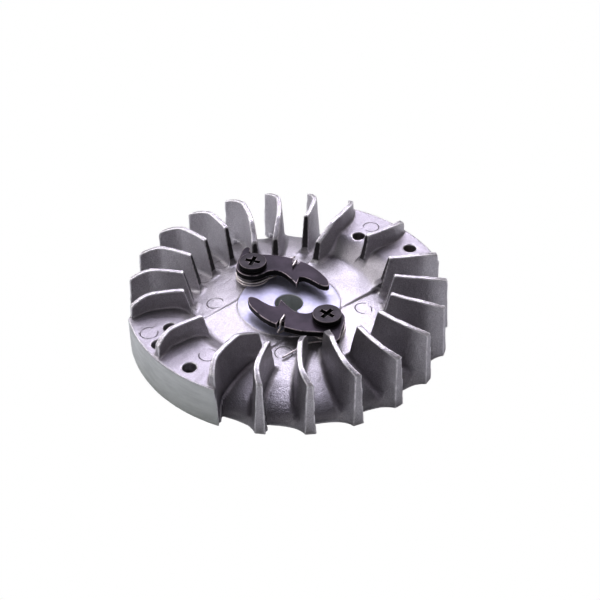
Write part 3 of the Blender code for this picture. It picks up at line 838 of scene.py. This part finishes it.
class Nodes:
    """Short ways to build a material's node tree.

    The plain colour and roughness are for viewers that don't read the tree.
    """

    def __init__(self, name, colour, roughness, metallic):
        self.material = bpy.data.materials.new(name)
        self.material.use_nodes = True
        self.tree = self.material.node_tree
        self.shader = self.tree.nodes["Principled BSDF"]
        self.shader.inputs["Base Color"].default_value = (*colour, 1)
        self.shader.inputs["Roughness"].default_value = roughness
        self.shader.inputs["Metallic"].default_value = metallic

    def add(self, kind, **settings):
        """A new node of a kind, with its settings."""
        node = self.tree.nodes.new("ShaderNode" + kind)
        for key, value in settings.items():
            setattr(node, key, value)
        return node

    def link(self, source, target):
        """Join an output to an input."""
        self.tree.links.new(source, target)

    def place(self):
        """Position in the row's frame, in metres."""
        return self.add("TexCoord").outputs["Object"]

    def attribute(self, name):
        """One of the mesh's named values."""
        return self.add("Attribute", attribute_name=name).outputs["Fac"]

    def math(self, operation, first, second=None, third=None):
        """Arithmetic on outputs and numbers."""
        node = self.add("Math", operation=operation)
        for socket, value in zip(node.inputs, (first, second, third)):
            if value is None:
                continue
            if isinstance(value, (int, float)):
                socket.default_value = value
            else:
                self.link(value, socket)
        return node.outputs[0]

    def noise(self, scale, detail, rough, stretch=None):
        """Noise in the row's frame, finer where the scale is larger."""
        node = self.add("TexNoise")
        node.inputs["Scale"].default_value = scale
        node.inputs["Detail"].default_value = detail
        node.inputs["Roughness"].default_value = rough
        place = self.place()
        if stretch:
            mapping = self.add("Mapping")
            mapping.inputs["Scale"].default_value = stretch
            self.link(place, mapping.inputs["Vector"])
            place = mapping.outputs[0]
        self.link(place, node.inputs["Vector"])
        return node.outputs["Fac"]

    def ramp(self, value, low, high, start=0.0, end=1.0):
        """A value's stretch from low to high, mapped smoothly to start..end."""
        node = self.add("MapRange", interpolation_type="SMOOTHSTEP")
        self.link(value, node.inputs["Value"])
        for key, number in (("From Min", low), ("From Max", high), ("To Min", start),
                            ("To Max", end)):
            node.inputs[key].default_value = number
        return node.outputs[0]

    def mix(self, share, first, second):
        """Colour between two colours or sockets."""
        node = self.add("Mix", data_type="RGBA")
        self.link(share, node.inputs["Factor"])
        for key, value in (("A", first), ("B", second)):
            socket = [s for s in node.inputs if s.name == key and s.type == "RGBA"][0]
            if isinstance(value, tuple):
                socket.default_value = (*value, 1)
            else:
                self.link(value, socket)
        return [s for s in node.outputs if s.type == "RGBA"][0]

    def colour(self, socket):
        """Take the surface's colour from an output."""
        self.link(socket, self.shader.inputs["Base Color"])

    def roughness(self, socket):
        """Take the surface's roughness from an output."""
        self.link(socket, self.shader.inputs["Roughness"])

    def bump(self, height, distance):
        """Small relief, from a height and its depth in millimetres."""
        node = self.add("Bump")
        node.inputs["Strength"].default_value = 1.0
        node.inputs["Distance"].default_value = distance * MM
        self.link(height, node.inputs["Height"])
        self.link(node.outputs[0], self.shader.inputs["Normal"])


# Ejector-pin marks: places on the wheel in plan, in millimetres
EJECTOR_MARKS = ((23.2, -1.6), (-23.2, 1.6), (27.3, 33.6), (-40.9, -20.8), (-23.0, -30.8),
                 (-1.5, -22.6), (-22.2, 23.8), (-27.4, 16.0), (22.2, -23.8), (27.4, -16.0))
EJECTOR_RADIUS = 2.6
RING_CORE = 0.06
RING_EDGE = 0.2

# Colours of the casting
CAST_GREY = (0.58, 0.57, 0.585)
CAST_PALE = (0.70, 0.69, 0.705)
PORE_GREY = (0.36, 0.34, 0.37)
# Painted shade on the upward-facing plateaus
PLATEAU_SHADE_GREY = (0.34, 0.32, 0.36)
# Painted shade low down on the skirt
SKIRT_SHADE = (0.18, 0.17, 0.2)
# Painted shade in wide hollows below the plateaus
DEEP_SHADE_GREY = (0.20, 0.18, 0.21)
# Painted shade in corners and creases
CORNER_SHADE_GREY = (0.15, 0.13, 0.15)
# Painted shade on the blades' inner ends
INNER_END_SHADE_BLACK = (0.06, 0.055, 0.06)
# Wear and painted highlight on convex edges
WORN_HIGHLIGHT_WHITE = (0.93, 0.92, 0.93)
RING_BLACK = (0.10, 0.09, 0.10)
# Painted light colour: the rim wall's green tint and the disc's lavender
RIM_GREY = (0.66, 0.68, 0.67)
RIM_PALE = (0.74, 0.76, 0.75)
DISC_GREY = (0.60, 0.60, 0.72)
DISC_PALE = (0.68, 0.68, 0.80)


def ejector_rings(look):
    """1 on the thin rings that ejector pins leave, 0 elsewhere."""
    rings = None
    for x, y in EJECTOR_MARKS:
        shift = look.add("VectorMath", operation="MULTIPLY_ADD")
        look.link(look.place(), shift.inputs[0])
        shift.inputs[1].default_value = (1 / MM, 1 / MM, 0)
        shift.inputs[2].default_value = (-x, -y, 0)
        length = look.add("VectorMath", operation="LENGTH")
        look.link(shift.outputs[0], length.inputs[0])
        away = look.math("SUBTRACT", length.outputs["Value"], EJECTOR_RADIUS)
        ring = look.ramp(look.math("ABSOLUTE", away), RING_CORE, RING_EDGE, 1.0, 0.0)
        rings = ring if rings is None else look.math("MAXIMUM", rings, ring)
    broken = look.ramp(look.noise(220, 2, 0.5), 0.38, 0.55)
    level = look.ramp(look.attribute("facing"), 0.75, 0.92)
    return look.math("MULTIPLY", look.math("MULTIPLY", rings, broken), level)


def turned_metal(look):
    """Colour of the machined faces: the disc, and the rim with its faint marks. The upward-facing
    disc carries a painted lavender of the light above, the rim wall a painted green tint of the
    floor's reflection.
    """
    marks = look.ramp(look.noise(300, 4, 0.6, (0.4, 0.4, 1.6)), 0.3, 0.7)
    rim = look.mix(marks, RIM_GREY, RIM_PALE)
    disc = look.mix(look.ramp(look.noise(420, 4, 0.65), 0.3, 0.7), DISC_GREY, DISC_PALE)
    return look.mix(look.ramp(look.attribute("facing"), 0.4, 0.6), rim, disc)


def cast_aluminium():
    """Die-cast aluminium: grainy, bright on its worn edges with painted highlight, with painted
    shade in its corners and hollows, on the plateaus, low on the skirt and on the blades' inner
    ends.
    """
    look = Nodes("cast_aluminium", (0.6, 0.58, 0.6), 0.42, 0.9)
    machined = look.attribute("machined")
    grain = look.noise(900, 3, 0.6)
    speckle = look.ramp(look.noise(2600, 2, 0.7), 0.25, 0.75)
    rings = ejector_rings(look)
    cloud = look.ramp(look.noise(60, 4, 0.55), 0.35, 0.7)
    cast = look.mix(cloud, CAST_GREY, CAST_PALE)
    layers = (
        (speckle, 0.6, PORE_GREY),
        # painted shade on the plateaus
        (look.attribute("plateau_shade"), 0.5, PLATEAU_SHADE_GREY),
        # painted shade low on the skirt
        (look.attribute("low"), 0.45, SKIRT_SHADE),
        # painted shade in wide hollows
        (look.ramp(look.attribute("deep_shade"), -0.75, -0.1, 1.0, 0.0), 0.5, DEEP_SHADE_GREY),
        # painted shade in corners
        (look.ramp(look.attribute("hollow"), -0.9, -0.35, 1.0, 0.0), 0.6, CORNER_SHADE_GREY),
        # painted shade on the blades' inner ends
        (look.attribute("inward"), 0.8, INNER_END_SHADE_BLACK),
        # wear and painted highlight on the edges
        (look.ramp(look.attribute("edge"), 0.25, 0.8), 0.85, WORN_HIGHLIGHT_WHITE),
        (rings, 0.6, RING_BLACK),
    )
    for where, strength, colour in layers:
        cast = look.mix(look.math("MULTIPLY", where, strength), cast, colour)
    look.colour(look.mix(machined, cast, turned_metal(look)))
    rough = look.math("MULTIPLY_ADD", grain, 0.24, 0.26)
    look.roughness(look.math("MULTIPLY_ADD", machined, 0.2, rough))
    height = look.math("ADD", look.math("MULTIPLY", grain, 0.5), look.noise(300, 2, 0.5))
    height = look.math("MULTIPLY_ADD", speckle, 0.3, height)
    height = look.math("SUBTRACT", height, look.math("MULTIPLY", rings, 1.2))
    height = look.math("MULTIPLY", height, look.math("MULTIPLY_ADD", machined, -0.8, 1.0))
    look.bump(height, 0.16)
    return look.material


def pawl_steel():
    """Dark oiled sintered steel, with painted shade that makes its sides black, and lighter where
    its edges are worn and given a painted highlight.
    """
    look = Nodes("pawl_steel", (0.05, 0.04, 0.055), 0.42, 0.55)
    dark = (0.035, 0.028, 0.038)
    pale = (0.065, 0.052, 0.068)
    # Painted shade: the sides, which don't face up, are near black
    side_shade_black = (0.010, 0.009, 0.010)
    # Wear and painted highlight along the edges
    worn_highlight_grey = (0.48, 0.43, 0.44)
    grain = look.noise(1400, 2, 0.6)
    top = look.mix(look.ramp(look.noise(140, 3, 0.5), 0.35, 0.7), dark, pale)
    base = look.mix(look.ramp(look.attribute("facing"), 0.3, 0.7), side_shade_black, top)
    edge = look.ramp(look.attribute("edge"), 0.3, 0.75)
    worn = look.math("MULTIPLY", edge, look.ramp(look.noise(500, 2, 0.6), 0.3, 0.6))
    look.colour(look.mix(worn, base, worn_highlight_grey))
    look.roughness(look.math("MULTIPLY_ADD", grain, 0.25, 0.28))
    look.bump(grain, 0.008)
    return look.material


def black_oxide():
    """Black oxide finish of the bolts, with a painted highlight round the head, painted shade on
    the sides and the blackest painted shade in the cross.
    """
    look = Nodes("black_oxide_finish", (0.02, 0.02, 0.022), 0.38, 0.5)
    dark = (0.034, 0.029, 0.034)
    pale = (0.06, 0.052, 0.06)
    # Painted shade on the sides, which don't face up
    side_shade_black = (0.008, 0.008, 0.008)
    # Painted highlight round the head's rim
    rim_highlight_grey = (0.42, 0.38, 0.39)
    # Painted shade in the cross recess
    cross_shade_black = (0.003, 0.003, 0.003)
    grain = look.noise(1100, 2, 0.5)
    top = look.mix(look.ramp(look.noise(250, 3, 0.5), 0.35, 0.7), dark, pale)
    base = look.mix(look.ramp(look.attribute("facing"), 0.3, 0.7), side_shade_black, top)
    edge = look.ramp(look.attribute("edge"), 0.35, 0.9)
    base = look.mix(look.math("MULTIPLY", edge, 0.7), base, rim_highlight_grey)
    look.colour(look.mix(look.attribute("sunk"), base, cross_shade_black))
    look.roughness(look.math("MULTIPLY_ADD", grain, 0.2, 0.3))
    look.bump(grain, 0.006)
    return look.material


def spring_steel():
    """Bright drawn wire with faint streaks."""
    look = Nodes("spring_wire", (0.6, 0.58, 0.55), 0.25, 1.0)
    dull = (0.74, 0.70, 0.68)
    bright = (0.92, 0.88, 0.85)
    streak = look.noise(800, 2, 0.6)
    look.colour(look.mix(look.ramp(streak, 0.3, 0.7), dull, bright))
    look.roughness(look.math("MULTIPLY_ADD", streak, 0.2, 0.24))
    return look.material


def rusty_steel():
    """Laminated pole steel with a film of rust."""
    look = Nodes("rusty_steel", (0.2, 0.12, 0.07), 0.65, 0.5)
    rust = (0.10, 0.055, 0.03)
    bare = (0.30, 0.25, 0.22)
    patches = look.ramp(look.noise(260, 4, 0.6), 0.35, 0.65)
    look.colour(look.mix(patches, rust, bare))
    look.roughness(look.math("MULTIPLY_ADD", patches, -0.25, 0.75))
    layers = look.add("TexWave", wave_type="BANDS", bands_direction="Z")
    layers.inputs["Scale"].default_value = 160
    look.link(look.place(), layers.inputs["Vector"])
    look.bump(look.math("ADD", layers.outputs["Fac"], patches), 0.06)
    return look.material


def zinc_plate():
    """Dull zinc finish of the balance weight."""
    look = Nodes("zinc_plate", (0.5, 0.5, 0.5), 0.55, 0.6)
    dull = (0.42, 0.42, 0.43)
    bright = (0.66, 0.66, 0.67)
    patches = look.ramp(look.noise(500, 3, 0.6), 0.3, 0.7)
    look.colour(look.mix(patches, dull, bright))
    look.roughness(look.math("MULTIPLY_ADD", patches, -0.2, 0.65))
    return look.material


def magnet_alloy():
    """Ground magnet block, dark grey."""
    look = Nodes("magnet_block", (0.16, 0.15, 0.15), 0.5, 0.6)
    dark = (0.11, 0.10, 0.10)
    pale = (0.22, 0.21, 0.21)
    grain = look.noise(400, 3, 0.6)
    look.colour(look.mix(grain, dark, pale))
    look.roughness(look.math("MULTIPLY_ADD", grain, 0.3, 0.35))
    return look.material


def repaint(node, material):
    """Give a CAD node that stays in view a finished material."""
    obj = frame["nodes"][node]
    for slot in obj.material_slots:
        slot.link = "OBJECT"
        slot.material = material


# ---------------------------------------------------------------- stage

FLOOR_HALF = 4.0
WORLD_COLOUR = (0.96, 0.97, 1.0, 1)
WORLD_STRENGTH = 0.06
WHITE = (1, 1, 1, 1)

# Soft boxes round the wheel: direction and height in degrees, brightness and colour. They are
# strong behind and on the left, and faint all round.
SOFT_BOXES = (
    (90, 62, 3.1, (1.03, 1.0, 1.15)),
    (90, 38, 2.6, (1.05, 1.0, 1.15)),
    (64, 42, 1.7, (1.05, 1.0, 1.12)),
    (135, 38, 3.2, (1.03, 1.0, 1.03)),
    (180, 38, 2.6, (1.04, 1.0, 1.03)),
    (45, 38, 0.67, (1.06, 1.0, 1.02)),
    (45, 15, 0.7, (1.0, 1.0, 0.95)),
    (0, 38, 0.7, (1.1, 1.0, 1.1)),
    (225, 38, 1.05, (1.0, 1.0, 1.0)),
    (270, 38, 0.6, (1.1, 1.0, 1.1)),
    (315, 38, 0.6, (1.0, 1.0, 1.0)),
    (135, 15, 0.46, (1.0, 1.0, 0.9)),
    (180, 15, 0.43, (1.0, 1.0, 1.05)),
    (90, 15, 0.32, (1.0, 1.0, 0.8)),
)
BOX_DISTANCE = 0.9
BOX_SIZE = 0.45

# Below 1, this deepens the picture's darks
CONTRAST_GAMMA = 0.74

# The camera looks from the front, well above; its place is in millimetres
CAMERA_PLACE = (3.449, -263.471, 215.630)
CAMERA_PITCH = 38.062 * DEG
CAMERA_ROLL = -0.409 * DEG
LENS = 64.51
SENSOR_WIDTH = 36


def floor():
    """A plain pale floor: white to look at, a soft grey in the metal's reflections."""
    mesh = bpy.data.meshes.new("floor")
    corners = [(x * FLOOR_HALF, y * FLOOR_HALF, 0) for x, y in ((-1, -1), (1, -1), (1, 1), (-1, 1))]
    mesh.from_pydata(corners, [], [(0, 1, 2, 3)])
    obj = bpy.data.objects.new("floor", mesh)
    bpy.context.scene.collection.objects.link(obj)
    look = Nodes("floor_white", (0.84, 0.86, 0.85), 0.9, 0.0)
    glow = look.add("Emission")
    glow.inputs["Color"].default_value = WHITE
    glow.inputs["Strength"].default_value = 1.0
    mix = look.add("MixShader")
    look.link(look.add("LightPath").outputs["Is Camera Ray"], mix.inputs[0])
    look.link(look.shader.outputs[0], mix.inputs[1])
    look.link(glow.outputs[0], mix.inputs[2])
    look.link(mix.outputs[0], look.tree.nodes["Material Output"].inputs["Surface"])
    mesh.materials.append(look.material)


def world():
    """White surroundings to look at, dim ones to be lit by."""
    surroundings = bpy.data.worlds.new("studio")
    surroundings.use_nodes = True
    tree = surroundings.node_tree
    dim = tree.nodes["Background"]
    dim.inputs["Color"].default_value = WORLD_COLOUR
    dim.inputs["Strength"].default_value = WORLD_STRENGTH
    white = tree.nodes.new("ShaderNodeBackground")
    white.inputs["Color"].default_value = WHITE
    mix = tree.nodes.new("ShaderNodeMixShader")
    path = tree.nodes.new("ShaderNodeLightPath")
    tree.links.new(path.outputs["Is Camera Ray"], mix.inputs[0])
    tree.links.new(dim.outputs[0], mix.inputs[1])
    tree.links.new(white.outputs[0], mix.inputs[2])
    tree.links.new(mix.outputs[0], tree.nodes["World Output"].inputs["Surface"])
    bpy.context.scene.world = surroundings


def soft_box(name, place, radiance, colour):
    """A square soft box that points at the wheel, as bright as white paper at 1."""
    data = bpy.data.lights.new(name, "AREA")
    data.shape = "RECTANGLE"
    data.size = BOX_SIZE
    data.size_y = BOX_SIZE
    data.energy = math.pi * BOX_SIZE * BOX_SIZE * radiance
    data.color = colour
    obj = bpy.data.objects.new(name, data)
    obj.location = place
    obj.rotation_euler = (-place).to_track_quat("-Z", "Y").to_euler()
    bpy.context.scene.collection.objects.link(obj)


def lights():
    """All the soft boxes, at one distance from the wheel."""
    for number, (way, height, radiance, colour) in enumerate(SOFT_BOXES):
        flat = math.cos(height * DEG)
        place = Vector((flat * math.cos(way * DEG), flat * math.sin(way * DEG),
                        math.sin(height * DEG)))
        soft_box("soft_box_%d" % number, BOX_DISTANCE * place, radiance, colour)


def camera():
    """The scene's camera, turned from its pitch and roll."""
    data = bpy.data.cameras.new("camera")
    data.sensor_width = SENSOR_WIDTH
    data.lens = LENS
    data.clip_start = 0.01
    obj = bpy.data.objects.new("camera", data)
    forward = Vector((0, math.cos(CAMERA_PITCH), -math.sin(CAMERA_PITCH)))
    right = Vector((1, 0, 0))
    up = right.cross(forward)
    rolled_right = right * math.cos(CAMERA_ROLL) + up * math.sin(CAMERA_ROLL)
    rolled_up = up * math.cos(CAMERA_ROLL) - right * math.sin(CAMERA_ROLL)
    turned = Matrix((rolled_right, rolled_up, -forward)).transposed().to_4x4()
    obj.matrix_world = Matrix.Translation(Vector(CAMERA_PLACE) * MM) @ turned
    bpy.context.scene.collection.objects.link(obj)
    bpy.context.scene.camera = obj


def build():
    """The whole picture: stage, pieces, and finishes of the CAD nodes that stay in view."""
    camera()
    world()
    lights()
    floor()
    casting()
    for letter, side in (("a", 1), ("b", -1)):
        pawl(letter)
        bolt(letter, side)
        spring(letter, side)
    steel = rusty_steel()
    for node in ("pole_shoe_leading", "pole_shoe_trailing"):
        repaint(node, steel)
    repaint("balance_weight", zinc_plate())
    repaint("ignition_magnet", magnet_alloy())
    view = bpy.context.scene.view_settings
    view.view_transform = "Standard"
    view.gamma = CONTRAST_GAMMA


build()
